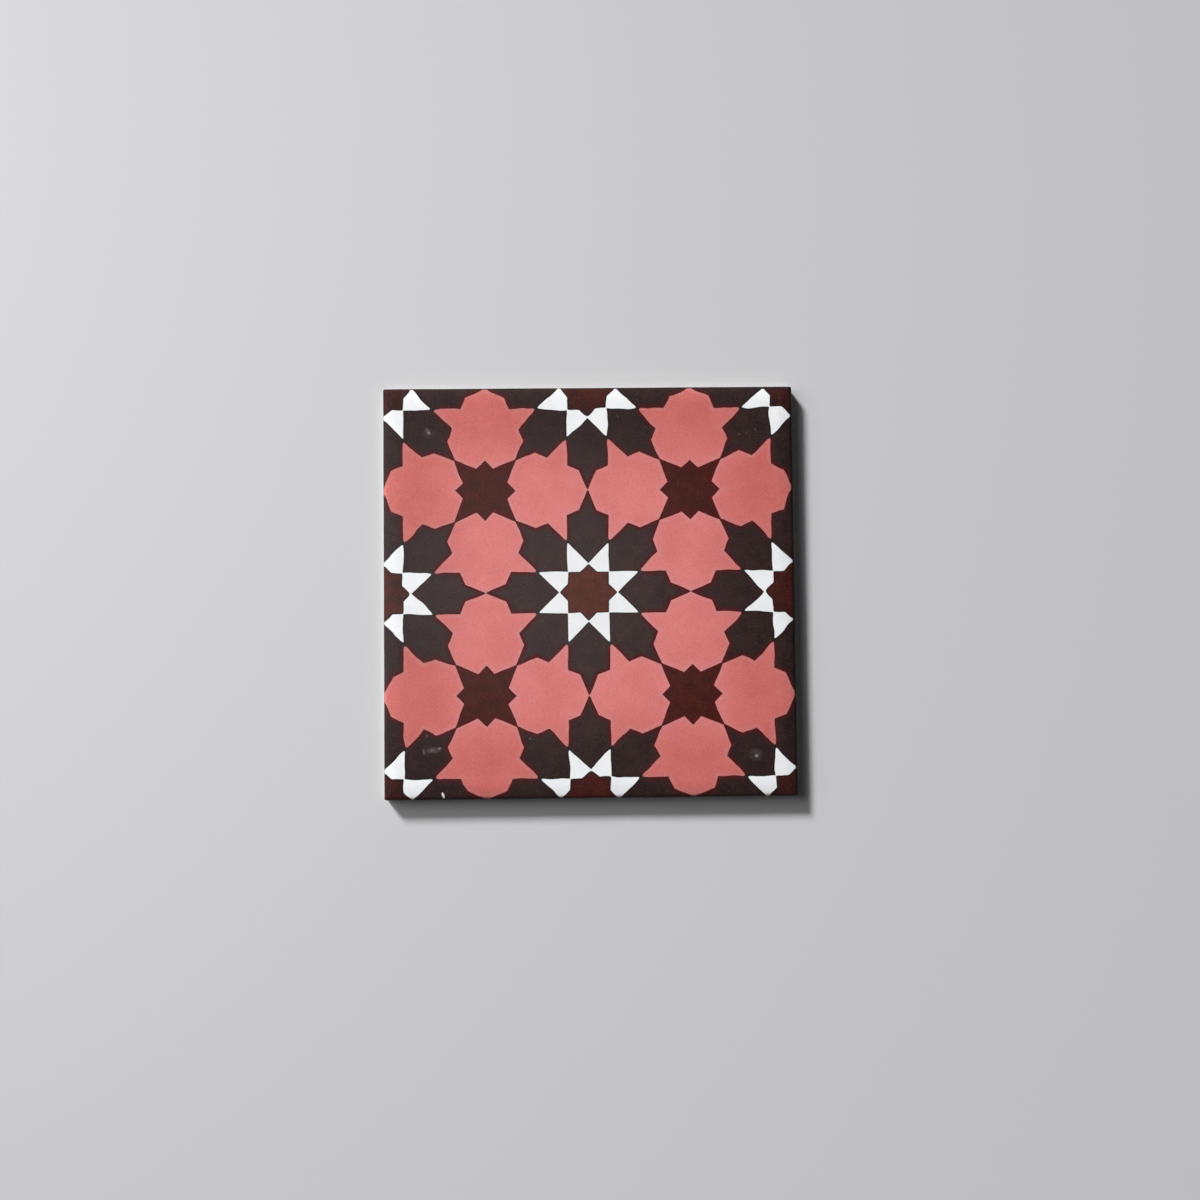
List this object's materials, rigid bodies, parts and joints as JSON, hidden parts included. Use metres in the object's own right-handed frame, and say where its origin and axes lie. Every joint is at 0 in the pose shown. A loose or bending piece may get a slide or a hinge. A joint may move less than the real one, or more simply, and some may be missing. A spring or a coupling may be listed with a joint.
{
  "type": "floor tile",
  "caption": "Square glazed ceramic floor tile with a cushioned edge, a keyed bedding back and an all-over geometric star and rosette pattern in coral, charcoal, white and brown.",
  "frame": {"origin": "middle of the bedding back, in the plane of its ribs", "axes": "+Z out of the wearing face; X and Y along the tile's sides"},
  "size_m": [0.2, 0.2, 0.009],
  "materials": {
    "glazed_tile": "satin"
  },
  "bodies": {
    "root": {"tile": "glazed_tile"}
  },
  "joints": []
}
